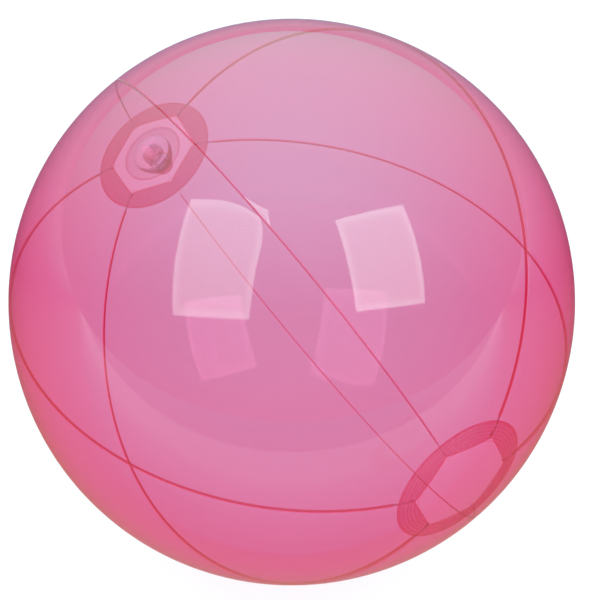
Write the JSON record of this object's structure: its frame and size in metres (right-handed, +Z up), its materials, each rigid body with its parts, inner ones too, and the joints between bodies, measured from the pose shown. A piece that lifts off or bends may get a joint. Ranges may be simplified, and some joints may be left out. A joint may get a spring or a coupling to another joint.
{
  "type": "inflatable beach ball",
  "caption": "Clear tinted inflatable beach ball: welded film panels, round end discs and a push-in inflation valve with check flap, plug and strap.",
  "frame": {"origin": "the centre of the inflated ball", "axes": "+Z up, +Y along the ball's axis out through the valve, so that the plain end disc faces -Y"},
  "size_m": [0.27, 0.2702, 0.27],
  "materials": {
    "panel_film": "clear pink dyed soft vinyl film, glossy on both sides",
    "disc_film": "the same clear film, with fine weld rings over the panel ends",
    "valve_moulding": "soft moulded clear vinyl, thicker and a little cloudy"
  },
  "bodies": {
    "ball": {"panel_1": "panel_film", "panel_2": "panel_film", "panel_3": "panel_film", "panel_4": "panel_film", "panel_5": "panel_film", "panel_6": "panel_film", "valve_end_disc": "disc_film", "plain_end_disc": "disc_film", "valve_flange": "valve_moulding", "valve_collar": "valve_moulding"},
    "stem": {"valve_stem": "valve_moulding"},
    "plug": {"valve_plug": "valve_moulding", "plug_strap": "valve_moulding"},
    "flap": {"check_flap": "valve_moulding"}
  },
  "joints": [
    {"name": "stem_slide", "type": "slide", "parent": "ball", "child": "stem", "axis": [0, 1, 0], "range_m": [0, 0.016], "deforming": ["valve_collar"]},
    {"name": "plug_hinge", "type": "hinge", "parent": "stem", "child": "plug", "pos_m": [0, 0.1334, 0.0068], "axis": [1, 0, 0], "range_deg": [0, 135], "deforming": ["plug_strap"]},
    {"name": "flap_hinge", "type": "hinge", "parent": "stem", "child": "flap", "pos_m": [0, 0.12055, 0.0049], "axis": [-1, 0, 0], "range_deg": [0, 70], "stiffness_Nm_per_rad": 0.00002}
  ]
}
